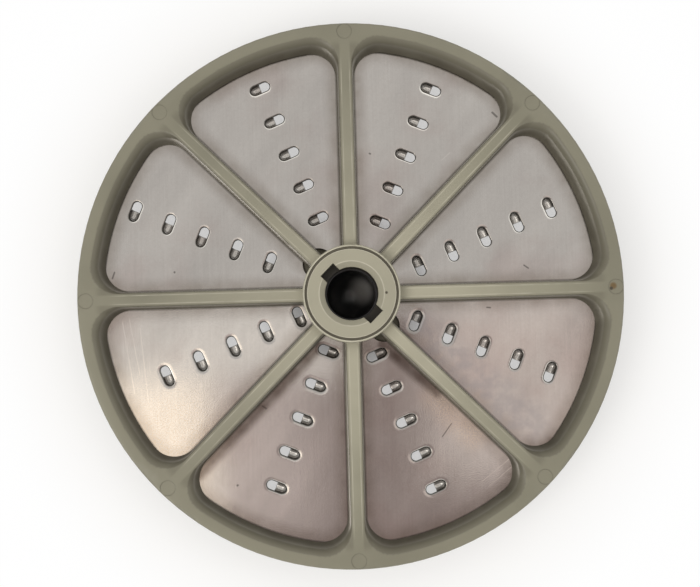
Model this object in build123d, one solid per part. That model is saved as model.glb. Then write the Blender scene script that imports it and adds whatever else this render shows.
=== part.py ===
from build123d import *
from math import cos, radians, sin, tan
import os

# Grating disc of a hub-driven vegetable cutter, lying on its cap with the drive side up.
# A frame is moulded in one shot round the edge and the middle of a formed steel plate,
# and a hollow cap closes the drive socket on the cutting side.
# Millimetres. +Z is the drive axis, out of the bore's mouth. The origin is the middle of the cap's crown.

# Disc
disc_diameter = 175.0
sector_count = 8
plate_height = 14.0  # resting surface to the plate's cutting face
plate_thickness = 1.0
pocket_depth = 9.0  # plate to the tops of rim and ribs

# Rim, from outside to inside
rim_flat = 3.1  # level top
rim_round = 2.7  # rounded shoulder of the pockets
rim_draft = 1.0  # lean of the pocket wall
rim_edge_round = 0.8
rim_lip_width = 5.5  # lip under the plate's edge
rim_lip_drop = 1.5
plate_embed = 3.8  # plate's edge past the pocket wall
pocket_corner = 8.5

# Ribs
rib_base = 5.85
rib_draft = 0.4  # lean of one side
rib_round = 0.6  # rounded shoulder of one side
ejector_diameter = 4.8
ejector_depth = 0.15
ejector_inset = 2.7  # mark's middle to the disc's edge

# Hub and its collar on the cutting side
hub_diameter = 31.2
hub_rise = 4.0  # hub face above the ribs
hub_edge_round = 0.4
groove_diameter = 29.1
groove_width = 0.8
groove_depth = 0.6
bore_diameter = 17.0
bore_depth = 10.0
bore_chamfer = 1.8
key_angle = 135.0
key_width = 5.7
key_reach = 10.9  # axis to the slot's outer wall
key_depth = 6.0
collar_diameter = 30.8
collar_height = 3.0

# Middle hole of the plate, with a round lobe under each keyed rib
plate_hole_diameter = 25.0
lobe_radius = 5.2
lobe_offset = 14.7
lobe_lap = 0.5  # collar past the lobe's edge

# Gouge teeth
tooth_width = 3.7
tooth_length = 7.4
tooth_pitch = 11.75  # along a row; rows step outward by one pitch in a full turn
tooth_lead = 2.2  # hole's middle ahead of the row's line
hood_wall = 0.6
hood_nose = 2.6
mouth_setback = 0.5  # lip's feet behind the hole's middle
mouth_rake = 23.0
first_row_angle = 202.5
first_tooth_gap = 0.5  # first hood to the collar
row_end_gap = 4.4  # last hole's middle to the pocket wall

# Cap
cap_diameter = 30.8
cap_skirt = 3.0
crown_diameter = 18.0
crown_wall = 2.5
cap_wall = 2.2
relief_depth = 5.5  # ring-shaped hollow between skirt and neck
socket_diameter = 15.8
cap_fit = 0.05  # neck in the hub

# Levels and radii that follow
disc_radius = disc_diameter / 2
half_sector = 180 / sector_count
lip_level = plate_height - rim_lip_drop
plate_top = plate_height + plate_thickness
rim_top = plate_top + pocket_depth
hub_top = rim_top + hub_rise
collar_bottom = plate_height - collar_height
neck_top = hub_top - bore_depth
shoulder_level = rim_top - rim_round
wall_radius = disc_radius - rim_flat - rim_round - rim_draft
plate_radius = wall_radius + plate_embed
lip_radius = disc_radius - rim_lip_width
neck_radius = socket_diameter / 2 + cap_wall
neck_seat_radius = neck_radius + cap_fit
tooth_radius = tooth_width / 2
hood_radius = tooth_radius + hood_wall
first_tooth = collar_diameter / 2 + first_tooth_gap + hood_radius
ON_BASE = (Align.CENTER, Align.CENTER, Align.MIN)
KEYS = PolarLocations(0, 2, start_angle=key_angle)
RIBS = PolarLocations(0, sector_count)


def column(radius, bottom, top):
    """Upright cylinder on the disc's axis."""
    return Pos(Z=bottom) * Cylinder(radius, top - bottom, align=ON_BASE)


def pocket_plan(level, radius, half_rib):
    """Sector between two ribs at one level, with its outer corners rounded."""
    tip = half_rib / sin(radians(half_sector))
    half_width = (disc_radius - tip) * tan(radians(half_sector))
    wedge = make_face(Polyline((tip, 0), (disc_radius, half_width), (disc_radius, -half_width), close=True))
    plan = wedge & Circle(radius)
    plan = fillet(plan.vertices().sort_by(Axis.X)[-2:], pocket_corner)
    return Pos(Z=level) * plan


def pocket():
    """Space between two ribs: a leaning wall, then a shoulder that rounds over to the rim and ribs."""
    foot = pocket_plan(plate_top, wall_radius, rib_base / 2)
    shoulder = []
    for angle in (0, 30, 60, 90):
        outward = 1 - cos(radians(angle))
        level = shoulder_level + rim_round * sin(radians(angle))
        radius = wall_radius + rim_draft + rim_round * outward
        half_rib = rib_base / 2 - rib_draft - rib_round * outward
        shoulder.append(pocket_plan(level, radius, half_rib))
    return loft([foot, shoulder[0]], ruled=True) + loft(shoulder)


def hub():
    """Turned form of the hub: collar, neck through the plate, body and grooved face."""
    core = column(collar_diameter / 2, collar_bottom, plate_height)
    core += column(plate_hole_diameter / 2, plate_height, plate_top)
    body = column(hub_diameter / 2, plate_top, hub_top)
    body = fillet(body.edges().group_by(Axis.Z)[-1], hub_edge_round)
    groove = column((groove_diameter + groove_width) / 2, hub_top - groove_depth, hub_top)
    groove -= column((groove_diameter - groove_width) / 2, hub_top - groove_depth, hub_top)
    return core + body - groove


def drive_socket():
    """Space in the hub: seat of the cap's neck, bore, chamfered mouth and the two key slots."""
    seat = column(neck_seat_radius, collar_bottom, neck_top)
    bore = column(bore_diameter / 2, neck_top, hub_top)
    mouth = Pos(Z=hub_top - bore_chamfer) * Cone(
        bore_diameter / 2, bore_diameter / 2 + bore_chamfer, bore_chamfer, align=ON_BASE
    )
    slot = Pos(Z=hub_top - key_depth) * Box(
        key_reach, key_width, key_depth, align=(Align.MIN, Align.CENTER, Align.MIN)
    )
    return seat + bore + mouth + KEYS * slot


def lobe_anchor():
    """Ear of the collar under one lobe of the plate's hole, with the rib's root down through the lobe."""
    ear = Pos(lobe_offset) * column(lobe_radius + lobe_lap, collar_bottom, plate_height)
    root = Pos(lobe_offset, 0, plate_height) * Box(2 * lobe_radius, rib_base, plate_thickness, align=ON_BASE)
    return ear + (root & Pos(lobe_offset) * column(lobe_radius, plate_height, plate_top))


def disc_frame():
    """One-shot moulding: rim, ribs and hub, open on the cutting side and grooved for the plate's edge."""
    body = column(disc_radius, lip_level, rim_top)
    body = fillet(body.edges().filter_by(GeomType.CIRCLE), rim_edge_round)
    body -= PolarLocations(0, sector_count, start_angle=half_sector) * pocket()
    body -= column(plate_radius, plate_height, plate_top)
    body -= column(lip_radius, lip_level, plate_height)
    body += hub()
    body += KEYS * lobe_anchor()
    body -= drive_socket()
    mark = Pos(disc_radius - ejector_inset) * column(ejector_diameter / 2, rim_top - ejector_depth, rim_top)
    return body - RIBS * mark


def tooth_hood():
    """Half of a turned bullet under the plate, open to the hole at a raked lip. X runs to the hole's middle."""
    tail = tooth_radius - tooth_length
    nose = tail + hood_nose
    section = make_face(
        [
            EllipticalCenterArc((nose, 0), hood_nose, tooth_radius, start_angle=90, arc_size=90),
            EllipticalCenterArc((nose, 0), hood_nose + hood_wall, hood_radius, start_angle=90, arc_size=90),
            Line((tail, 0), (tail - hood_wall, 0)),
            Line((nose, tooth_radius), (0, tooth_radius)),
            Line((0, tooth_radius), (0, hood_radius)),
            Line((0, hood_radius), (nose, hood_radius)),
        ]
    )
    bullet = revolve(section, -Axis.X, 180)
    rake = radians(mouth_rake)
    mouth = Plane((-mouth_setback, 0, 0), z_dir=(cos(rake), 0, -sin(rake)))
    return split(bullet, bisect_by=mouth, keep=Keep.BOTTOM)


def tooth_slot():
    """Opening of one tooth through the plate, from the hood's nose to the hole's round end."""
    nose = tooth_radius - tooth_length + hood_nose
    plan = Circle(tooth_radius) + Pos(nose) * Ellipse(hood_nose, tooth_radius)
    plan += Pos(nose / 2) * Rectangle(-nose, tooth_width)
    return extrude(plan, plate_thickness)


def tooth_seats():
    """Places of the teeth: one row up the middle of each sector, each row a step further out than the last."""
    seats = []
    for row in range(sector_count):
        turn = Rot(Z=first_row_angle + row * 2 * half_sector)
        start = first_tooth + row * tooth_pitch / sector_count
        count = int((wall_radius - row_end_gap - start) // tooth_pitch) + 1
        for place in range(count):
            radius = start + place * tooth_pitch
            seats.append(turn * Pos(radius, -tooth_lead, plate_height) * Rot(Z=-90))
    return seats


def grating_plate():
    """Stamped sheet: a keyed middle hole and the rows of gouge teeth."""
    sheet = column(plate_radius, plate_height, plate_top)
    sheet -= column(plate_hole_diameter / 2, plate_height, plate_top)
    sheet -= KEYS * (Pos(lobe_offset) * column(lobe_radius, plate_height, plate_top))
    slot = tooth_slot()
    hood = tooth_hood()
    seats = tooth_seats()
    sheet -= [seat * slot for seat in seats]
    return sheet + [seat * hood for seat in seats]


def hub_cap():
    """Turned form of the cap: flat crown, domed side, skirt on the collar and a neck up into the hub."""
    cap_radius = cap_diameter / 2
    crown_radius = crown_diameter / 2
    socket_radius = socket_diameter / 2
    skirt_bottom = collar_bottom - cap_skirt
    relief_bottom = collar_bottom - relief_depth
    neck_end = neck_top - cap_fit
    dome_middle = crown_wall + socket_radius
    side = EllipticalCenterArc(
        (crown_radius, skirt_bottom), cap_radius - crown_radius, skirt_bottom, start_angle=-90, arc_size=90
    )
    socket = CenterArc((0, dome_middle), socket_radius, -90, 90)
    walls = Polyline(
        (cap_radius, skirt_bottom),
        (cap_radius, collar_bottom),
        (cap_radius - cap_wall, collar_bottom),
        (cap_radius - cap_wall, relief_bottom),
        (neck_radius, relief_bottom),
        (neck_radius, neck_end),
        (socket_radius, neck_end),
        (socket_radius, dome_middle),
    )
    crown = Polyline((0, crown_wall), (0, 0), (crown_radius, 0))
    section = make_face([side, *walls.edges(), socket, *crown.edges()])
    return revolve(Plane.XZ * section, Axis.Z)


os.makedirs("parts", exist_ok=True)
for name, solid in (("disc_frame", disc_frame()), ("grating_plate", grating_plate()), ("hub_cap", hub_cap())):
    export_step(solid, f"parts/{name}.step")
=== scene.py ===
from math import atan2, cos, pi, radians, sin, tan

import bmesh
import bpy
import numpy as np
from mathutils import Matrix, Vector
from mathutils.geometry import delaunay_2d_cdt


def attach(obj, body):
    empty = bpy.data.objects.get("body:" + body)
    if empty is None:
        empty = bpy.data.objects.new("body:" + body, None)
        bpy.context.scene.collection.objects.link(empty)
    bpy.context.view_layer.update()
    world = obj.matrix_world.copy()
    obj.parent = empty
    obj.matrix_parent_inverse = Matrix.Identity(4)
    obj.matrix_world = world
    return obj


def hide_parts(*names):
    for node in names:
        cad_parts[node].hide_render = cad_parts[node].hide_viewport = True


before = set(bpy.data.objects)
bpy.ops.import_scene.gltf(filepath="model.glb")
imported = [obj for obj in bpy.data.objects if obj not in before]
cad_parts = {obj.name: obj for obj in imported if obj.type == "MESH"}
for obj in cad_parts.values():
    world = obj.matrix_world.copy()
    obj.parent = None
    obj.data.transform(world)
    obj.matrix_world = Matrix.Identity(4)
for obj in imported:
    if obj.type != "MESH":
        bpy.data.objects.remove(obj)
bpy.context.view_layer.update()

# DISC FRAME
# Rim, eight ribs and the hub, moulded in one shot of olive-grey filled plastic round the steel plate.
# The solid of the part keeps its shape here: its facets are joined and smoothed, and it gets its finish, with
# painted light and shade in its colour.


def shade(tree, kind, inputs=(), **settings):
    """Adds one node. Settings are its properties, inputs are pairs of a socket and a value or a link."""
    node = tree.nodes.new(kind)
    for name, value in settings.items():
        setattr(node, name, value)
    for socket, value in inputs:
        if isinstance(value, bpy.types.NodeSocket):
            tree.links.new(value, node.inputs[socket])
        else:
            node.inputs[socket].default_value = value
    return node


def calc(tree, operation, first, second=0.0):
    """One arithmetic step on two numbers."""
    return shade(tree, "ShaderNodeMath", [(0, first), (1, second)], operation=operation).outputs[0]


def ease(tree, value, start, end):
    """A number eased from 0 at start to 1 at end."""
    steps = [("Value", value), ("From Min", start), ("From Max", end)]
    return shade(tree, "ShaderNodeMapRange", steps, interpolation_type="SMOOTHSTEP").outputs[0]


def tint(tree, amount, first, second, blend_type="MIX"):
    """Two colours mixed by an amount."""
    inputs = [(0, amount), (6, first), (7, second)]
    return shade(tree, "ShaderNodeMix", inputs, data_type="RGBA", blend_type=blend_type).outputs[2]


def noise(tree, coords, scale, detail=2.0, stretch=(1.0, 1.0, 1.0)):
    """Cloudy pattern from 0 to 1. Scale is in clouds a metre, and stretch thins it along an axis."""
    squeezed = shade(tree, "ShaderNodeVectorMath", [(0, coords), (1, stretch)], operation="MULTIPLY")
    inputs = [("Vector", squeezed.outputs[0]), ("Scale", scale), ("Detail", detail)]
    return shade(tree, "ShaderNodeTexNoise", inputs).outputs[0]


def spot(tree, coords, centre, radius, soft):
    """1 within a radius of a point, fading to 0 over a soft edge."""
    away = shade(tree, "ShaderNodeVectorMath", [(0, coords), (1, centre)], operation="DISTANCE")
    return ease(tree, away.outputs["Value"], radius + soft, radius)


def new_material(name):
    """An empty material and its shader, ready for nodes."""
    material = bpy.data.materials.new(name)
    material.use_nodes = True
    tree = material.node_tree
    return material, tree, tree.nodes["Principled BSDF"]


def smooth_facets(piece, angle):
    """Joins the loose facets of a solid and shades them smooth where they meet at less than an angle."""
    group = bpy.data.node_groups.new(piece.name + "_smooth", "GeometryNodeTree")
    group.interface.new_socket("Geometry", in_out="INPUT", socket_type="NodeSocketGeometry")
    group.interface.new_socket("Geometry", in_out="OUTPUT", socket_type="NodeSocketGeometry")
    start = shade(group, "NodeGroupInput").outputs[0]
    joined = shade(group, "GeometryNodeMergeByDistance", [("Geometry", start), ("Distance", 2e-6)]).outputs[0]
    fold = shade(group, "GeometryNodeInputMeshEdgeAngle").outputs[0]
    flat = shade(group, "FunctionNodeCompare", [(0, fold), (1, angle)], operation="LESS_THAN").outputs[0]
    inputs = [("Geometry", joined), ("Shade Smooth", flat)]
    edges = shade(group, "GeometryNodeSetShadeSmooth", inputs, domain="EDGE")
    faces = shade(group, "GeometryNodeSetShadeSmooth", [("Geometry", edges.outputs[0])], domain="FACE")
    shade(group, "NodeGroupOutput", [(0, faces.outputs[0])])
    piece.modifiers.new("smooth", "NODES").node_group = group


disc_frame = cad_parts["disc_frame"]
smooth_facets(disc_frame, radians(32))

olive_lit_hub = (0.365, 0.347, 0.270, 1.0)
olive_rim = (0.232, 0.222, 0.168, 1.0)
olive_cloud = (0.80, 0.80, 0.79, 1.0)
# Dark olive for grime and for painted shade.
olive_grime_and_shade = (0.070, 0.060, 0.042, 1.0)
olive_highlight = (0.560, 0.535, 0.440, 1.0)
slot_shade = (0.018, 0.015, 0.010, 1.0)
highlight_rings = [(0.0103, 0.00016), (0.01403, 0.00008), (0.01515, 0.00020)]
plate_face = 0.015
rim_top = 0.024
rim_edge = 0.0875
hub_edge = 0.0156
hub_top = 0.028
groove_middle = 0.01455
mark_middle = 0.0848
mark_radius = 0.0024
rib_crest = 0.00135
side_light_turn = radians(40)
mm = 0.001
nick_dark = (0.060, 0.050, 0.036, 1.0)
chip_brown = (0.150, 0.100, 0.045, 1.0)
damage = [
    ((10.98, -0.05, 28.0), 0.6, nick_dark),
    ((84.0, 0.3, 24.0), 1.5, chip_brown),
    ((83.3, -0.5, 24.0), 0.8, nick_dark),
    ((-2.26, 56.78, 23.5), 0.7, nick_dark),
]


def hypotenuse(tree, first, second):
    """Length of the slanted side over two lengths at right angles."""
    squares = calc(tree, "ADD", calc(tree, "MULTIPLY", first, first), calc(tree, "MULTIPLY", second, second))
    return calc(tree, "SQRT", squares)


def polar(tree, coords):
    """Height, distance from the disc's axis and turn about it, from the piece's own coordinates."""
    x, y, z = shade(tree, "ShaderNodeSeparateXYZ", [(0, coords)]).outputs
    return z, hypotenuse(tree, x, y), calc(tree, "ARCTAN2", y, x)


def folded(tree, turn, offset):
    """Turn from the nearest of eight equal spokes, the first of them at an offset."""
    step = pi / 4
    shifted = calc(tree, "ADD", turn, 4 * pi + step / 2 - offset)
    return calc(tree, "SUBTRACT", calc(tree, "MODULO", shifted, step), step / 2)


moulded_olive, tree, shader = new_material("moulded_olive")
coords = shade(tree, "ShaderNodeTexCoord").outputs["Object"]
height, reach, turn = polar(tree, coords)
cloud = noise(tree, coords, 42.0, 4.0)
# Painted light: the same olive plastic is painted lighter at the hub and darker towards the rim.
colour = tint(tree, ease(tree, reach, hub_edge, rim_edge - 0.004), olive_lit_hub, olive_rim)
colour = tint(tree, calc(tree, "MULTIPLY", ease(tree, cloud, 0.4, 0.7), 0.5), colour, olive_cloud, "MULTIPLY")
# Painted light: the ribs and pocket walls are painted lighter towards the lower right and darker towards the
# upper left, as if lit from that side.
side_light_scale = calc(tree, "MULTIPLY", calc(tree, "COSINE", calc(tree, "ADD", turn, side_light_turn)), 0.12)
side_light_scale = calc(tree, "MULTIPLY", side_light_scale, ease(tree, reach, hub_edge, hub_edge + 0.006))
side_light_scale = calc(tree, "ADD", calc(tree, "MULTIPLY", side_light_scale, ease(tree, reach, 0.084, 0.066)), 0.97)
colour = shade(tree, "ShaderNodeVectorMath", [(0, colour), ("Scale", side_light_scale)], operation="SCALE").outputs[0]
patchy = ease(tree, noise(tree, coords, 150.0, 5.0), 0.2, 0.75)
in_rim = ease(tree, reach, rim_edge - 0.0008, rim_edge - 0.0020)
# Darker towards the plate at the foot of the walls, ribs and hub: partly grime, partly painted shade.
foot = calc(tree, "MULTIPLY", ease(tree, height, plate_face + 0.0086, plate_face + 0.0026), in_rim)
foot = calc(tree, "MULTIPLY", foot, calc(tree, "ADD", calc(tree, "MULTIPLY", patchy, 0.25), 0.40))
colour = tint(tree, foot, colour, olive_grime_and_shade)
spoke = folded(tree, turn, 0.0)
mark_x = calc(tree, "SUBTRACT", calc(tree, "MULTIPLY", reach, calc(tree, "COSINE", spoke)), mark_middle)
mark_y = calc(tree, "MULTIPLY", reach, calc(tree, "SINE", spoke))
mark_away = hypotenuse(tree, mark_x, mark_y)
off_middle = calc(tree, "ABSOLUTE", mark_y)
off_mark = ease(tree, mark_away, mark_radius, mark_radius + 0.0003)
# Painted shade: the rim's inner shoulder and the pocket walls below the rim's flat top, except round the
# ejector marks.
shoulder_shade = calc(tree, "MULTIPLY", ease(tree, height, rim_top - 0.00001, rim_top - 0.00016), off_mark)
shoulder_shade = calc(tree, "MULTIPLY", shoulder_shade, in_rim)
colour = tint(tree, calc(tree, "MULTIPLY", shoulder_shade, 0.48), colour, olive_grime_and_shade)
# Painted shade: the rounded sides of each rib, between the hub and the rim.
rib_side_shade = ease(tree, off_middle, 0.0012, 0.0021)
rib_side_shade = calc(tree, "MULTIPLY", rib_side_shade, ease(tree, reach, hub_edge + 0.0002, hub_edge + 0.0008))
rib_side_shade = calc(tree, "MULTIPLY", rib_side_shade, ease(tree, off_middle, 0.0050, 0.0035))
rib_side_shade = calc(tree, "MULTIPLY", rib_side_shade, ease(tree, reach, rim_edge - 0.0050, rim_edge - 0.0080))
colour = tint(tree, calc(tree, "MULTIPLY", rib_side_shade, 0.30), colour, olive_grime_and_shade)
# Painted highlight: a pale line along each side of every rib's crest.
off_crest = calc(tree, "ABSOLUTE", calc(tree, "SUBTRACT", off_middle, rib_crest))
rib_line = ease(tree, off_crest, 0.00022, 0.00008)
rib_line = calc(tree, "MULTIPLY", rib_line, ease(tree, reach, hub_edge + 0.0008, hub_edge + 0.0030))
rib_line = calc(tree, "MULTIPLY", rib_line, ease(tree, reach, rim_edge - 0.0080, rim_edge - 0.0180))
colour = tint(tree, calc(tree, "MULTIPLY", rib_line, calc(tree, "MULTIPLY", patchy, 0.5)), colour, olive_highlight)
# Painted shade: the key slots and the bore below the chamfer are painted almost black.
in_bore = calc(tree, "MULTIPLY", ease(tree, reach, 0.0114, 0.0111), ease(tree, height, 0.0266, 0.0242))
colour = tint(tree, calc(tree, "MULTIPLY", in_bore, 0.96), colour, slot_shade)
# Painted highlights: pale rings on the hub's top at the chamfer's edge, the groove's inner edge and the lip's
# outer edge.
for ring, line_width in highlight_rings:
    off_ring = calc(tree, "ABSOLUTE", calc(tree, "SUBTRACT", reach, ring))
    ring_line = ease(tree, off_ring, line_width + 0.0001, 0.4 * line_width)
    ring_line = calc(tree, "MULTIPLY", ring_line, ease(tree, height, hub_top - 0.0006, hub_top - 0.0001))
    ring_line = calc(tree, "MULTIPLY", ring_line, calc(tree, "ADD", calc(tree, "MULTIPLY", patchy, 0.5), 0.3))
    colour = tint(tree, ring_line, colour, olive_highlight)
# Painted shade in the groove on the hub's top.
in_groove = ease(tree, calc(tree, "ABSOLUTE", calc(tree, "SUBTRACT", reach, groove_middle)), 0.00055, 0.0003)
in_groove = calc(tree, "MULTIPLY", in_groove, ease(tree, height, hub_top - 0.0001, hub_top - 0.0005))
colour = tint(tree, calc(tree, "MULTIPLY", in_groove, 0.85), colour, olive_grime_and_shade)
off_circle = calc(tree, "ABSOLUTE", calc(tree, "SUBTRACT", mark_away, mark_radius))
mark_line = ease(tree, off_circle, 0.00028, 0.00006)
on_top = ease(tree, height, rim_top - 0.0006, rim_top - 0.0003)
mark_line = calc(tree, "MULTIPLY", mark_line, on_top)
mark_line = calc(tree, "MULTIPLY", mark_line, calc(tree, "MULTIPLY", patchy, 0.18))
colour = tint(tree, mark_line, colour, olive_grime_and_shade)
grain = noise(tree, coords, 2600.0, 3.0)
swell = noise(tree, coords, 160.0, 2.0)
relief = calc(tree, "ADD", calc(tree, "MULTIPLY", grain, 0.25), swell)
soft_edge = shade(tree, "ShaderNodeBevel", [("Radius", 0.0003)], samples=4).outputs[0]
bump = shade(
    tree,
    "ShaderNodeBump",
    [("Height", relief), ("Strength", 0.35), ("Distance", 0.00008), ("Normal", soft_edge)],
)
rough = shade(tree, "ShaderNodeMapRange", [("Value", cloud), ("To Min", 0.30), ("To Max", 0.42)]).outputs[0]
rough = calc(tree, "ADD", rough, calc(tree, "MULTIPLY", foot, 0.5))
for centre, size, damage_colour in damage:
    scar = spot(tree, coords, [c * mm for c in centre], 0.4 * size * mm, 0.6 * size * mm)
    colour = tint(tree, scar, colour, damage_colour)
shader.inputs["Specular IOR Level"].default_value = 0.35
tree.links.new(colour, shader.inputs["Base Color"])
tree.links.new(rough, shader.inputs["Roughness"])
tree.links.new(bump.outputs[0], shader.inputs["Normal"])
disc_frame.data.materials.clear()
disc_frame.data.materials.append(moulded_olive)

# GRATING PLATE
# Stainless sheet, one millimetre thick, with forty gouge teeth pressed out of it towards the cutting side.
# The press rolls the sheet's edge over into each hood; the rim and hub are moulded round the sheet.

plate_radius = 84.5
plate_back = 14.0
plate_gauge = 1.0
hole_radius = 12.5
lobe_radius = 5.2
lobe_offset = 14.7
lobe_angle = radians(135)
tooth_radius = 1.45
tooth_length = 6.6
tooth_pitch = 11.75
tooth_lead = 2.2
first_tooth = 18.35
first_row = radians(202.5)
rows = 8
teeth_in_row = 5
hood_wall = 0.6
hood_nose = 1.7
mouth_setback = 1.45
mouth_rake = radians(6)
lip_round = 0.4
dish_reach = 1.3
dish_depth = 0.045
roll_radius = 0.42
roll_start = radians(8)
root_round = 0.35
edge_break = 0.06
flat_margin = 0.2

tail = tooth_radius - tooth_length
nose = tail + hood_nose
lip_foot = -mouth_setback


def half_outline(grow):
    """Half of a tooth's plan from the tail to the hole's far end, with its outward normal, for a slot that is
    grow wider all round: a quarter ellipse for the nose, a straight side, and a quarter circle for the hole.
    The lip's foot stands twice, because the hood ends and the bare hole begins there."""
    turn = np.linspace(0, pi / 2, 9)
    long_axis = hood_nose + grow
    short_axis = tooth_radius + grow
    sweep = np.linspace(0, pi / 2, 10)[1:]
    side = np.concatenate([np.linspace(nose, lip_foot, 6)[1:], [lip_foot, 0.0]])
    along = np.concatenate([nose - long_axis * np.cos(turn), side, short_axis * np.sin(sweep)])
    straight = np.full(side.size, short_axis)
    across = np.concatenate([short_axis * np.sin(turn), straight, short_axis * np.cos(sweep)])
    lean_along = np.concatenate([-np.cos(turn) / long_axis, np.zeros(side.size), np.sin(sweep)])
    lean_across = np.concatenate([np.sin(turn) / short_axis, np.ones(side.size), np.cos(sweep)])
    size = np.hypot(lean_along, lean_across)
    return along, across, lean_along / size, lean_across / size


def whole_ring(along, across, level):
    """Half rings mirrored over the tooth's middle line into closed rings of points."""
    half = np.stack(np.broadcast_arrays(along, across, level), -1)
    other = half[..., -2:0:-1, :] * (1, -1, 1)
    return np.concatenate([half, other], -2)


slot_along, slot_across, slot_na, slot_nc = half_outline(0.0)
hood_along, hood_across, hood_na, hood_nc = half_outline(hood_wall)
half_count = slot_along.size
foot_index = 13
in_hood = np.arange(half_count) <= foot_index

# Drive side: the sheet dips by a square law to the slot, rolls over along a circle and drops to the hood.
dip = np.linspace(0, 1, 6)
roll_turn = np.linspace(roll_start, pi / 2, 7)
roll_inset = roll_radius * (1 - np.sin(roll_turn))
dip_offset = dish_reach + (roll_inset[0] - dish_reach) * dip
dip_level = plate_gauge - dish_depth * dip**2
roll_level = dip_level[-1] - roll_radius * (np.cos(roll_start) - np.cos(roll_turn))
offset = np.concatenate([[dish_reach + flat_margin], dip_offset, roll_inset[1:], [0.0]])[:, None]
hole_break = np.where(np.arange(half_count) > foot_index + 1, edge_break, 0.0)
level = np.concatenate([[plate_gauge], dip_level, roll_level[1:]])[:, None] + np.zeros(half_count)
level = np.vstack([level, hole_break])
drive_rings = whole_ring(slot_along + offset * slot_na, slot_across + offset * slot_nc, level)

# Hood: level lines of half a turned bullet, shrinking by the cosine of their depth angle down to its keel.
# The lip leans back by the rake, which slides the straight part of each line along the tooth.
side_share = np.clip((slot_along - nose) / (lip_foot - nose), 0, 1) * in_hood


def hood_lines(along, across, radius, start_depth, lip):
    """Level lines of the hood from a start depth, given for each station, to the keel. They end short of the
    mouth by the lip's round, which grows with the sine of the depth angle from nothing at the foot."""
    first = np.arcsin(start_depth / radius)
    depth_angle = first + (pi / 2 - first) * np.linspace(0, 1, 9)[:, None]
    depth = radius * np.sin(depth_angle)
    in_nose = along < nose
    shrunk = np.where(in_nose, nose + (along - nose) * np.cos(depth_angle), along)
    slid = shrunk - side_share * (depth * tan(mouth_rake) + lip * np.sin(depth_angle))
    return slid[:, in_hood], (across * np.cos(depth_angle))[:, in_hood], -depth[:, in_hood]


def mirrored_lines(along, across, level):
    """Open lines round the tail, from the foot on one side to the foot on the other."""
    half = np.stack([along, across, level], -1)
    return np.concatenate([half[:, ::-1], half[:, 1:] * (1, -1, 1)], 1)


inner_half = hood_lines(slot_along, slot_across, tooth_radius, np.zeros(half_count), lip_round)
inner_lines = mirrored_lines(*inner_half)
root = root_round * np.clip((lip_foot - slot_along) / 1.0, 0, 1) * in_hood
outer_half = hood_lines(hood_along, hood_across, tooth_radius + hood_wall, root, 0.0)
outer_lines = mirrored_lines(*outer_half)

# Cutting side: the flat sheet, a hollow root round the hood, and a broken edge round the bare hole.
base_along = np.where(in_hood, hood_along, slot_along)
base_across = np.where(in_hood, hood_across, slot_across)
base_na = np.where(in_hood, hood_na, slot_na)
base_nc = np.where(in_hood, hood_nc, slot_nc)
start_along = base_along + np.where(in_hood, root, hole_break) * base_na
start_across = base_across + np.where(in_hood, root, hole_break) * base_nc
margin_na = base_na.copy()
margin_na[foot_index : foot_index + 2] = 1.0
end_along = slot_along.copy()
end_across = slot_across.copy()
end_level = hole_break.copy()
end_along[in_hood] = outer_half[0][0]
end_across[in_hood] = outer_half[1][0]
end_level[in_hood] = outer_half[2][0]
share = np.array([0, 1 / 3, 2 / 3, 1])[:, None]
corner_along = np.where(in_hood, base_along, (start_along + end_along) / 2)
corner_across = np.where(in_hood, base_across, (start_across + end_across) / 2)
corner_level = np.where(in_hood, 0.0, end_level / 2)
near, middle, far = (1 - share) ** 2, 2 * share * (1 - share), share**2
root_along = near * start_along + middle * corner_along + far * end_along
root_across = near * start_across + middle * corner_across + far * end_across
root_level = middle * corner_level + far * end_level
margin = whole_ring(start_along + flat_margin * margin_na, start_across + flat_margin * base_nc, 0.0)[None]
back_rings = np.concatenate([margin, whole_ring(root_along, root_across, root_level)])


# Lip: a quarter round carried along the mouth from foot to keel, then the sheared face to the outside.
lip_turn = np.linspace(0, pi / 2, 5)[:, None]
lip_sweep = np.linspace(0, pi / 2, 9)
lip_size = lip_round * np.sin(lip_sweep)
lip_radius = tooth_radius + np.vstack([lip_size * (1 - np.cos(lip_turn)), np.full(lip_sweep.size, hood_wall)])
lip_short = np.vstack([lip_size * (1 - np.sin(lip_turn)), np.zeros(lip_sweep.size)])
lip_depth = lip_radius * np.sin(lip_sweep)
lip_along = lip_foot - lip_depth * tan(mouth_rake) - lip_short
lip_half = np.stack([lip_along, lip_radius * np.cos(lip_sweep), -lip_depth], -1)
lip_rows = np.concatenate([lip_half, lip_half[:, ::-1] * (1, -1, 1)], 1)


def strip_quads(row_count, column_count, closed, skip=()):
    """Quads of a grid of rows and columns, the last column joined to the first where it is closed."""
    row = np.arange(row_count - 1)[:, None]
    column = np.setdiff1d(np.arange(column_count - (not closed)), skip)[None]
    beside = (column + 1) % column_count
    corners = (row * column_count + column, row * column_count + beside)
    above = ((row + 1) * column_count + beside, (row + 1) * column_count + column)
    return np.stack(np.broadcast_arrays(*corners, *above), -1).reshape(-1, 4)


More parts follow.
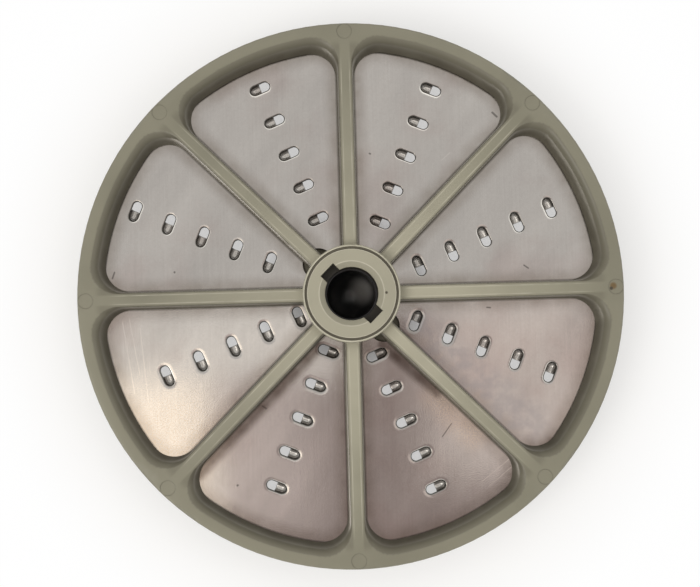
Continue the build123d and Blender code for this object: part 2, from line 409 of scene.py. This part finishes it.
ring_count = drive_rings.shape[1]
foot_pairs = (foot_index, ring_count - foot_index - 1)
line_count = inner_lines.shape[1]
grids = [
    (drive_rings, strip_quads(len(drive_rings), ring_count, True, foot_pairs)),
    (inner_lines, strip_quads(len(inner_lines), line_count, False)),
    (back_rings[:2], strip_quads(2, ring_count, True)),
    (back_rings[1:], strip_quads(len(back_rings) - 1, ring_count, True, foot_pairs)),
    (outer_lines, strip_quads(len(outer_lines), line_count, False)),
    (lip_rows, strip_quads(len(lip_rows), lip_rows.shape[1], False)),
]
tooth_points = np.concatenate([points.reshape(-1, 3) for points, _ in grids])
starts = np.cumsum([0] + [points.size // 3 for points, _ in grids])
tooth_quads = np.concatenate([quads + start for (_, quads), start in zip(grids, starts)])

# Seats: rows up the middle of the sectors, each row an eighth of a pitch further out than the last.
row_number, place = (v.ravel() for v in np.meshgrid(np.arange(rows), np.arange(teeth_in_row), indexing="ij"))
seat_angle = first_row + row_number * 2 * pi / rows
seat_radius = first_tooth + row_number * tooth_pitch / rows + place * tooth_pitch


def seated(points):
    """Points of one tooth turned and carried to all the seats."""
    out = seat_radius[:, None] + points[:, 1]
    ahead = -tooth_lead - points[:, 0] + 0 * out
    c, s = np.cos(seat_angle)[:, None], np.sin(seat_angle)[:, None]
    up = points[:, 2] + plate_back + 0 * out
    return np.stack([out * c - ahead * s, out * s + ahead * c, up], -1)


def arc(centre, radius, start, end, count):
    """Points along an arc, without its last one."""
    turn = np.linspace(start, end, count + 1)[:-1]
    return np.stack([centre[0] + radius * np.cos(turn), centre[1] + radius * np.sin(turn)], -1)


meet_along = (hole_radius**2 - lobe_radius**2 + lobe_offset**2) / (2 * lobe_offset)
meet_across = (hole_radius**2 - meet_along**2) ** 0.5
gap_turn = atan2(meet_across, meet_along)
lobe_turn = atan2(meet_across, meet_along - lobe_offset)
hole_outline = []
for turn in (lobe_angle, lobe_angle + pi):
    lobe_centre = (lobe_offset * cos(turn), lobe_offset * sin(turn))
    hole_outline.append(arc(lobe_centre, lobe_radius, turn - lobe_turn, turn + lobe_turn, 28))
    hole_outline.append(arc((0, 0), hole_radius, turn + gap_turn, turn + pi - gap_turn, 44))
hole_outline = np.concatenate(hole_outline)
edge_outline = arc((0, 0), plate_radius, 0, 2 * pi, 256)


def flat_face(ring, level):
    """The sheet's flat face between its edge, its middle hole and a ring round each tooth, in triangles.
    A triangle belongs to it where a ray from its middle crosses the outlines an odd number of times."""
    tooth_loops = seated(ring)[..., :2]
    flat_loops = [edge_outline, hole_outline, *tooth_loops]
    points = np.concatenate(flat_loops)
    ends = np.cumsum([len(loop) for loop in flat_loops])
    edges = np.stack([np.arange(len(points)), np.arange(1, len(points) + 1)], -1)
    edges[ends - 1, 1] = np.concatenate([[0], ends[:-1]])
    made = delaunay_2d_cdt([Vector(p) for p in points], edges.tolist(), [], 0, 1e-6)
    flat_points = np.array([tuple(p) for p in made[0]])
    faces = np.array(made[2])
    x, y = np.split(flat_points[faces].mean(1), 2, 1)
    (x0, y0), (x1, y1) = points[edges[:, 0]].T, points[edges[:, 1]].T
    spans = (y0 > y) != (y1 > y)
    crossing = x0 + (y - y0) * (x1 - x0) / np.where(y1 == y0, 1.0, y1 - y0)
    in_sheet = (spans & (x < crossing)).sum(1) % 2 == 1
    return np.column_stack([flat_points, np.full(len(flat_points), level)]), faces[in_sheet]


def wall(outline):
    """Upright edge of the sheet along a closed outline."""
    low = np.column_stack([outline, np.full(len(outline), plate_back)])
    high = low + (0, 0, plate_gauge)
    return np.concatenate([low, high]), strip_quads(2, len(outline), True)


teeth = seated(tooth_points)
teeth_quads = (tooth_quads + np.arange(len(teeth))[:, None, None] * len(tooth_points)).reshape(-1, 4)
sheets = [
    (teeth.reshape(-1, 3), teeth_quads),
    flat_face(drive_rings[0], plate_back + plate_gauge),
    flat_face(back_rings[0], plate_back),
    wall(edge_outline),
    wall(hole_outline),
]
starts = np.cumsum([0] + [len(points) for points, _ in sheets])
plate_mesh = bpy.data.meshes.new("steel_plate")
plate_faces = [face for (_, faces), start in zip(sheets, starts) for face in (faces + start).tolist()]
plate_mesh.from_pydata(np.concatenate([points for points, _ in sheets]) * mm, [], plate_faces)
work = bmesh.new()
work.from_mesh(plate_mesh)
bmesh.ops.remove_doubles(work, verts=work.verts, dist=2e-6)
bmesh.ops.dissolve_degenerate(work, edges=work.edges, dist=1e-7)
bmesh.ops.recalc_face_normals(work, faces=work.faces)
work.to_mesh(plate_mesh)
work.free()
plate_mesh.shade_smooth()
plate_mesh.set_sharp_from_angle(angle=radians(50))
steel_plate = bpy.data.objects.new("steel_plate", plate_mesh)
bpy.context.scene.collection.objects.link(steel_plate)

flat_map = plate_mesh.uv_layers.new(name="sheet")
corner_vertex = np.empty(len(plate_mesh.loops), np.int32)
plate_mesh.loops.foreach_get("vertex_index", corner_vertex)
vertex_place = np.empty(len(plate_mesh.vertices) * 3, np.float32)
plate_mesh.vertices.foreach_get("co", vertex_place)
sheet_place = vertex_place.reshape(-1, 3)[corner_vertex, :2] / (2 * plate_radius * mm) + 0.5
flat_map.uv.foreach_set("vector", sheet_place.ravel())

# Stains lie on the drive side alone: 1 where the surface faces up or sideways, 0 where it faces down.
vertex_lean = np.empty(len(plate_mesh.vertices) * 3, np.float32)
plate_mesh.vertex_normals.foreach_get("vector", vertex_lean)
drive_face = plate_mesh.attributes.new("drive_face", "FLOAT", "POINT")
drive_face.data.foreach_set("value", (vertex_lean[2::3] > -0.15).astype(np.float32))

steel_pale = (0.660, 0.640, 0.615, 1.0)
steel_stain = (0.520, 0.430, 0.405, 1.0)
steel_reflected_wall = (0.275, 0.230, 0.185, 1.0)
# Near black for dirt specks and for painted shade.
steel_grime_and_shade = (0.030, 0.025, 0.020, 1.0)
steel_crust_and_shade = (0.085, 0.055, 0.042, 1.0)
steel_warm_reflection = (1.000, 0.830, 0.610, 1.0)
steel_blue = (0.430, 0.430, 0.450, 1.0)
rib_crust_and_shade = [((-11.5, -16.8), (-51.0, -56.4), 0.3, 3.2), ((9.5, -16.5), (27.0, -32.4), 0.3, 2.6)]
corner_crust_and_shade = [((50.0, -60.6), 3.0), ((61.5, -49.5), 3.0)]
steel_gold = (0.560, 0.450, 0.330, 1.0)
steel_glint = (0.860, 0.830, 0.780, 1.0)
glint_spot_middle = (-0.060, -0.044, 0.015)
warm_reflection_line = ((26.0, -34.5), (38.0, -47.5), 0.5, 6.5)
blue_line = ((22.0, -14.0), (56.0, -43.0), 3.0, 8.0)
dark_marks = [
    ((7.35, 46.30), (7.60, 46.20), 0.15),
    ((-57.40, 8.94), (-57.40, 9.05), 0.18),
    ((-76.92, 9.48), (-77.61, 7.54), 0.12),
    ((-29.90, -35.30), (-28.60, -36.20), 0.10),
    ((-38.59, -60.76), (-38.50, -60.70), 0.20),
    ((44.30, -5.30), (45.40, -5.40), 0.12),
    ((28.42, -46.92), (31.49, -42.79), 0.03),
    ((48.20, 58.80), (49.60, 57.40), 0.20),
    ((56.90, 8.20), (58.30, 7.20), 0.10),
]
pale_marks = [
    ((30.90, 43.40), (33.80, 45.90), 0.05),
    ((40.00, -62.50), (51.00, -54.00), 0.03),
    ((43.00, -63.50), (50.50, -57.50), 0.02),
    ((-74.60, -7.00), (-71.20, -30.00), 0.03),
    ((-72.40, -6.00), (-69.40, -24.00), 0.02),
    ((-69.00, -9.00), (-66.80, -33.00), 0.02),
]
smear_slant = radians(35)
wall_radius = 0.0807
half_rib = 0.002925
pocket_corner = 0.0085


def into_pocket(tree, reach, turn):
    """How far a point of the sheet lies inside the edge of its pocket: the nearer of the rib and the rim,
    and in the outer corners the corner's radius less the distance from the corner's middle."""
    spoke = folded(tree, turn, 0.0)
    from_rib = calc(tree, "MULTIPLY", reach, calc(tree, "SINE", calc(tree, "ABSOLUTE", spoke)))
    rib_gap = calc(tree, "SUBTRACT", from_rib, half_rib)
    rim_gap = calc(tree, "SUBTRACT", wall_radius, reach)
    rib_short = calc(tree, "MAXIMUM", calc(tree, "SUBTRACT", pocket_corner, rib_gap), 0.0)
    rim_short = calc(tree, "MAXIMUM", calc(tree, "SUBTRACT", pocket_corner, rim_gap), 0.0)
    return calc(tree, "SUBTRACT", pocket_corner, hypotenuse(tree, rib_short, rim_short))


def scratch(tree, coords, start, end, width, soft):
    """1 along the straight line between two points of the sheet's face, fading to 0 over a soft edge."""
    start = Vector((*start, plate_back + plate_gauge)) * mm
    run = Vector((*end, plate_back + plate_gauge)) * mm - start
    inputs = [(0, coords), (1, start)]
    from_start = shade(tree, "ShaderNodeVectorMath", inputs, operation="SUBTRACT").outputs[0]
    inputs = [(0, from_start), (1, run / run.length_squared)]
    dot = shade(tree, "ShaderNodeVectorMath", inputs, operation="DOT_PRODUCT")
    share = calc(tree, "MINIMUM", calc(tree, "MAXIMUM", dot.outputs["Value"], 0.0), 1.0)
    nearest = shade(tree, "ShaderNodeVectorMath", [(0, run), ("Scale", share)], operation="SCALE").outputs[0]
    inputs = [(0, from_start), (1, nearest)]
    away = shade(tree, "ShaderNodeVectorMath", inputs, operation="DISTANCE").outputs["Value"]
    return ease(tree, away, (width + soft) * mm, width * mm)


pressed_steel, tree, shader = new_material("pressed_steel")
coords = shade(tree, "ShaderNodeTexCoord").outputs["Object"]
height, reach, turn = polar(tree, coords)
inside = into_pocket(tree, reach, turn)
fine_grain = noise(tree, coords, 2200.0, 2.0, (1.0, 0.02, 0.05))
slant = [("Vector", coords), ("Rotation", (0.0, 0.0, smear_slant))]
slanted = shade(tree, "ShaderNodeMapping", slant).outputs[0]
broad_grain = noise(tree, coords, 420.0, 3.0, (1.0, 0.03, 0.05))
waves = noise(tree, coords, 26.0, 2.0)
smear = noise(tree, coords, 190.0, 5.0)
stain = ease(tree, noise(tree, coords, 34.0, 6.0), 0.5, 0.72)
colour = tint(tree, calc(tree, "MULTIPLY", stain, 0.4), steel_pale, steel_stain)
speckle = calc(tree, "ADD", noise(tree, coords, 1300.0, 4.0), fine_grain)
smears = noise(tree, slanted, 90.0, 4.0, (1.0, 0.22, 1.0))
speckle = calc(tree, "ADD", calc(tree, "MULTIPLY", speckle, 0.11), calc(tree, "MULTIPLY", smears, 0.34))
speckle = calc(tree, "ADD", speckle, 0.72)
colour = shade(tree, "ShaderNodeVectorMath", [(0, colour), ("Scale", speckle)], operation="SCALE").outputs[0]
clean_steel = colour
# Painted reflection and shade: a patchy brown band on the sheet along the ribs and rim, where the walls are
# mirrored in it and shade it.
edge = calc(tree, "ADD", calc(tree, "MULTIPLY", smear, 0.9), 0.15)
edge = calc(tree, "MULTIPLY", ease(tree, inside, 0.0055, 0.0), edge)
colour = tint(tree, calc(tree, "MULTIPLY", edge, 0.75), colour, steel_reflected_wall)
side_x, side_y, _ = shade(tree, "ShaderNodeSeparateXYZ", [(0, coords)]).outputs
right_of_rib = ease(tree, calc(tree, "ADD", side_x, side_y), -0.001, 0.001)
mottle = ease(tree, noise(tree, coords, 300.0, 4.0), 0.25, 0.7)
blued = calc(tree, "MULTIPLY", scratch(tree, coords, *blue_line), mottle)
blued = calc(tree, "MULTIPLY", blued, right_of_rib)
colour = tint(tree, calc(tree, "MULTIPLY", blued, 0.5), colour, steel_blue)
# Painted reflection: a warm, flecked glow on the sheet along the lower side of the 315° rib.
flecks = ease(tree, noise(tree, coords, 2400.0, 4.0), 0.30, 0.68)
warm_reflection = calc(tree, "MULTIPLY", calc(tree, "MULTIPLY", scratch(tree, coords, *warm_reflection_line), flecks), 0.34)
warm_reflection = calc(tree, "MULTIPLY", warm_reflection, calc(tree, "SUBTRACT", 1.0, right_of_rib))
colour = tint(tree, warm_reflection, colour, steel_warm_reflection)
# Painted highlight: warm gold grains in the reflected lamp on the lower left sector.
grains = ease(tree, noise(tree, coords, 2400.0, 4.0), 0.42, 0.62)
gold_glints = calc(tree, "MULTIPLY", spot(tree, coords, glint_spot_middle, 0.006, 0.017), grains)
colour = tint(tree, calc(tree, "MULTIPLY", gold_glints, 0.42), colour, steel_gold)
# Dark brown near the hub's lower side, along the 225° and 315° ribs by the hub and in two corners by the 315°
# rib: partly crust, partly painted shade and reflection of the ribs and hub.
lower = ease(tree, side_y, -0.008, -0.016)
crust_and_shade = calc(tree, "MULTIPLY", calc(tree, "MULTIPLY", ease(tree, reach, 0.027, 0.0165), lower), 0.45)
for start, end, width, soft in rib_crust_and_shade:
    crust_and_shade = calc(tree, "MAXIMUM", crust_and_shade, scratch(tree, coords, start, end, width, soft))
for centre, size in corner_crust_and_shade:
    corner = scratch(tree, coords, centre, (centre[0] + 0.1, centre[1]), size, size + 2.0)
    crust_and_shade = calc(tree, "MAXIMUM", crust_and_shade, calc(tree, "MULTIPLY", corner, edge))
crust_and_shade = calc(tree, "MULTIPLY", crust_and_shade, calc(tree, "ADD", calc(tree, "MULTIPLY", smear, 0.6), 0.35))
colour = tint(tree, crust_and_shade, colour, steel_crust_and_shade)
for start, end, width in pale_marks:
    pale = calc(tree, "MULTIPLY", scratch(tree, coords, start, end, width, 0.22), 0.35)
    colour = tint(tree, pale, colour, steel_glint)
for start, end, width in dark_marks:
    dark = calc(tree, "MULTIPLY", scratch(tree, coords, start, end, width, 0.25), 0.6)
    colour = tint(tree, dark, colour, steel_grime_and_shade)
drive_side = shade(tree, "ShaderNodeAttribute", attribute_name="drive_face").outputs["Fac"]
colour = tint(tree, drive_side, clean_steel, colour)
# A dark line where the sheet meets the walls, and painted shade inside each tooth: down the slot walls under
# the rolled edge and along the hood's keel.
seam_and_hood_shade = calc(tree, "MULTIPLY", ease(tree, inside, 0.0006, 0.0002), 0.45)
below = calc(tree, "MULTIPLY", ease(tree, height, 0.014972, 0.014935), ease(tree, height, 0.0130, 0.0134))
seam_and_hood_shade = calc(tree, "MAXIMUM", seam_and_hood_shade, calc(tree, "MULTIPLY", below, 0.8))
keel = calc(tree, "MULTIPLY", ease(tree, height, 0.0138, 0.0132), 0.35)
seam_and_hood_shade = calc(tree, "MULTIPLY", calc(tree, "MAXIMUM", seam_and_hood_shade, keel), drive_side)
colour = tint(tree, seam_and_hood_shade, colour, steel_grime_and_shade)
relief = calc(tree, "ADD", calc(tree, "MULTIPLY", fine_grain, 0.03), calc(tree, "MULTIPLY", broad_grain, 0.05))
relief = calc(tree, "ADD", relief, calc(tree, "MULTIPLY", waves, 2.0))
relief = calc(tree, "ADD", relief, calc(tree, "MULTIPLY", noise(tree, coords, 2600.0, 2.0), 0.24))
bump = shade(tree, "ShaderNodeBump", [("Height", relief), ("Strength", 0.5), ("Distance", 0.00006)])
sheen = [("Value", broad_grain), ("To Min", 0.07), ("To Max", 0.12)]
rough = shade(tree, "ShaderNodeMapRange", sheen).outputs[0]
rough = calc(tree, "ADD", rough, calc(tree, "MULTIPLY", ease(tree, height, 0.01492, 0.01470), 0.30))
across_grain = shade(tree, "ShaderNodeTangent", direction_type="UV_MAP", uv_map="sheet").outputs[0]
shader.inputs["Metallic"].default_value = 1.0
shader.inputs["Anisotropic"].default_value = 0.4
tree.links.new(across_grain, shader.inputs["Tangent"])
tree.links.new(colour, shader.inputs["Base Color"])
tree.links.new(rough, shader.inputs["Roughness"])
tree.links.new(bump.outputs[0], shader.inputs["Normal"])
plate_mesh.materials.append(pressed_steel)
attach(steel_plate, "root")
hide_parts("grating_plate")

# HUB CAP
# Hollow black cap that closes the drive socket on the cutting side, moulded in glossy plastic.
# Its neck is pressed up into the hub, and its round bottom shows through the bore.

hub_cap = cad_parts["hub_cap"]
smooth_facets(hub_cap, radians(32))

cap_black = (0.012, 0.012, 0.013, 1.0)
cap_dust = (0.045, 0.043, 0.040, 1.0)
cap_highlight = (0.320, 0.310, 0.300, 1.0)
cup_highlight_middle = (0.0044, 0.0019, 0.0042)

moulded_black, tree, shader = new_material("moulded_black")
coords = shade(tree, "ShaderNodeTexCoord").outputs["Object"]
dust = ease(tree, noise(tree, coords, 240.0, 6.0), 0.5, 0.8)
colour = tint(tree, calc(tree, "MULTIPLY", dust, 0.5), cap_black, cap_dust)
# Painted highlight: a soft pale glow on the right of the cup's bottom, seen through the bore.
cup_highlight = spot(tree, coords, cup_highlight_middle, 0.0010, 0.0055)
colour = tint(tree, cup_highlight, colour, cap_highlight)
rough = shade(tree, "ShaderNodeMapRange", [("Value", dust), ("To Min", 0.28), ("To Max", 0.42)]).outputs[0]
swell = noise(tree, coords, 300.0, 2.0)
bump = shade(tree, "ShaderNodeBump", [("Height", swell), ("Strength", 0.2), ("Distance", 0.0001)])
tree.links.new(colour, shader.inputs["Base Color"])
tree.links.new(rough, shader.inputs["Roughness"])
tree.links.new(bump.outputs[0], shader.inputs["Normal"])
hub_cap.data.materials.clear()
hub_cap.data.materials.append(moulded_black)

# FLOOR
# Plain pale table top under the disc. It shines a little by itself to the eye and in the steel,
# so that the table stays pale, and the rest of its light comes from the lamps, with the disc's shadow.

floor_reach = 9.0
floor_mesh = bpy.data.meshes.new("floor")
floor_corners = np.array([(-1, -1, 0), (1, -1, 0), (1, 1, 0), (-1, 1, 0)]) * floor_reach
floor_mesh.from_pydata(floor_corners, [], [(0, 1, 2, 3)])
floor = bpy.data.objects.new("floor", floor_mesh)
bpy.context.scene.collection.objects.link(floor)

table_white = bpy.data.materials.new("table_white")
table_white.use_nodes = True
tree = table_white.node_tree
tree.nodes.clear()
path = shade(tree, "ShaderNodeLightPath")
seen = calc(tree, "MAXIMUM", path.outputs["Is Camera Ray"], path.outputs["Is Glossy Ray"])
seen = calc(tree, "MAXIMUM", seen, path.outputs["Is Transmission Ray"])
matte = shade(tree, "ShaderNodeBsdfDiffuse", [("Color", (0.86, 0.86, 0.86, 1.0))])
glow = shade(tree, "ShaderNodeEmission", [("Color", (1.0, 1.0, 1.0, 1.0)), ("Strength", 1.0)])
table_coords = shade(tree, "ShaderNodeTexCoord").outputs["Object"]
table_reach = polar(tree, table_coords)[1]
# Painted shadow: the shine is weakest under the disc's middle and rises outwards, so the view through the
# holes is grey and darker near the hub.
glow_share = calc(tree, "ADD", calc(tree, "MULTIPLY", ease(tree, table_reach, 0.019, 0.034), 0.32), 0.13)
outer_glow = calc(tree, "MULTIPLY", ease(tree, table_reach, 0.086, 0.130), 0.53)
glow_share = calc(tree, "ADD", glow_share, outer_glow)
glow_share = calc(tree, "MULTIPLY", seen, glow_share)
table = shade(tree, "ShaderNodeMixShader", [(0, glow_share), (1, matte.outputs[0]), (2, glow.outputs[0])])
shade(tree, "ShaderNodeOutputMaterial", [("Surface", table.outputs[0])])
floor_mesh.materials.append(table_white)

# STUDIO LIGHT
# A pale room that is bright at the sides and dim overhead, and soft boxes round the disc.
# The sheet mirrors the ceiling, so flat boxes hang there over its upper half, left and lower sectors.

world = bpy.data.worlds.new("studio")
bpy.context.scene.world = world
world.use_nodes = True
tree = world.node_tree
heading = shade(tree, "ShaderNodeTexCoord").outputs["Generated"]
rise = shade(tree, "ShaderNodeSeparateXYZ", [(0, heading)]).outputs["Z"]
sky = tint(tree, ease(tree, rise, 0.06, 0.30), (0.95, 0.95, 0.95, 1.0), (0.50, 0.49, 0.47, 1.0))
sky = tint(tree, ease(tree, rise, 0.66, 0.80), sky, (1.30, 1.26, 1.19, 1.0))
sky = tint(tree, ease(tree, rise, 0.925, 0.960), sky, (0.36, 0.297, 0.280, 1.0))
tree.links.new(sky, tree.nodes["Background"].inputs["Color"])


def soft_box(name, place, aim, width, depth, radiance, colour):
    """An area lamp turned from its place to its aim. Its power is radiance times pi times its area."""
    lamp = bpy.data.lights.new(name, "AREA")
    lamp.shape = "RECTANGLE"
    lamp.size = width
    lamp.size_y = depth
    lamp.energy = radiance * pi * width * depth
    lamp.color = colour
    box = bpy.data.objects.new(name, lamp)
    box.location = place
    box.rotation_euler = (Vector(aim) - Vector(place)).to_track_quat("-Z", "Y").to_euler()
    box.visible_camera = False
    bpy.context.scene.collection.objects.link(box)


disc_middle = (0.0, 0.0, 0.015)
soft_box("ceiling_box", (0.0, 0.32, 1.215), (0.0, 0.32, 0.0), 1.10, 0.58, 0.30, (0.87, 1.0, 0.98))
soft_box("left_box", (-0.140, -0.010, 1.215), (-0.140, -0.010, 0.0), 0.32, 0.092, 0.55, (0.98, 1.0, 0.94))
soft_box("side_box", (-0.230, 0.130, 1.215), (-0.230, 0.130, 0.0), 0.36, 0.19, 0.13, (0.98, 1.0, 0.97))
soft_box("low_box", (0.230, -0.080, 1.215), (0.230, -0.080, 0.0), 0.22, 0.24, 0.38, (1.0, 0.93, 0.86))
soft_box("warm_box", (-0.312, -0.180, 1.215), (-0.312, -0.180, 0.0), 0.28, 0.25, 1.20, (1.0, 0.92, 0.78))
soft_box("pale_box", (-0.100, -0.155, 1.215), (-0.100, -0.155, 0.0), 0.13, 0.19, 0.26, (1.0, 0.90, 0.86))
soft_box("key_box", (-0.560, -0.323, 0.800), disc_middle, 0.45, 0.45, 4.5, (1.0, 0.97, 0.92))
soft_box("right_box", (0.85, 0.10, 0.70), disc_middle, 0.4, 0.4, 1.2, (1.0, 0.98, 0.95))

# CAMERA
# Almost straight over the drive side, as in the photograph, with no depth of field.
# The angles are the disc's turn about the camera's own axes, and the place is that of the plate's middle.

image_width = 700.0
focal_pixels = 1224.3
view_distance = 0.400
tilt = Matrix.Rotation(radians(-2.38), 3, "X") @ Matrix.Rotation(radians(0.86), 3, "Y")
to_camera = tilt @ Matrix.Rotation(radians(1.63), 3, "Z")
aside = Vector((-0.00037, 0.00048, view_distance))
lens = bpy.data.cameras.new("camera")
lens.sensor_fit = "HORIZONTAL"
lens.sensor_width = 36.0
lens.lens = lens.sensor_width * focal_pixels / image_width
lens.clip_start = 0.01
camera = bpy.data.objects.new("camera", lens)
place = to_camera.transposed() @ aside + Vector(disc_middle)
camera.matrix_world = Matrix.Translation(place) @ to_camera.transposed().to_4x4()
bpy.context.scene.collection.objects.link(camera)
bpy.context.scene.camera = camera

bpy.context.scene.view_settings.view_transform = "Standard"
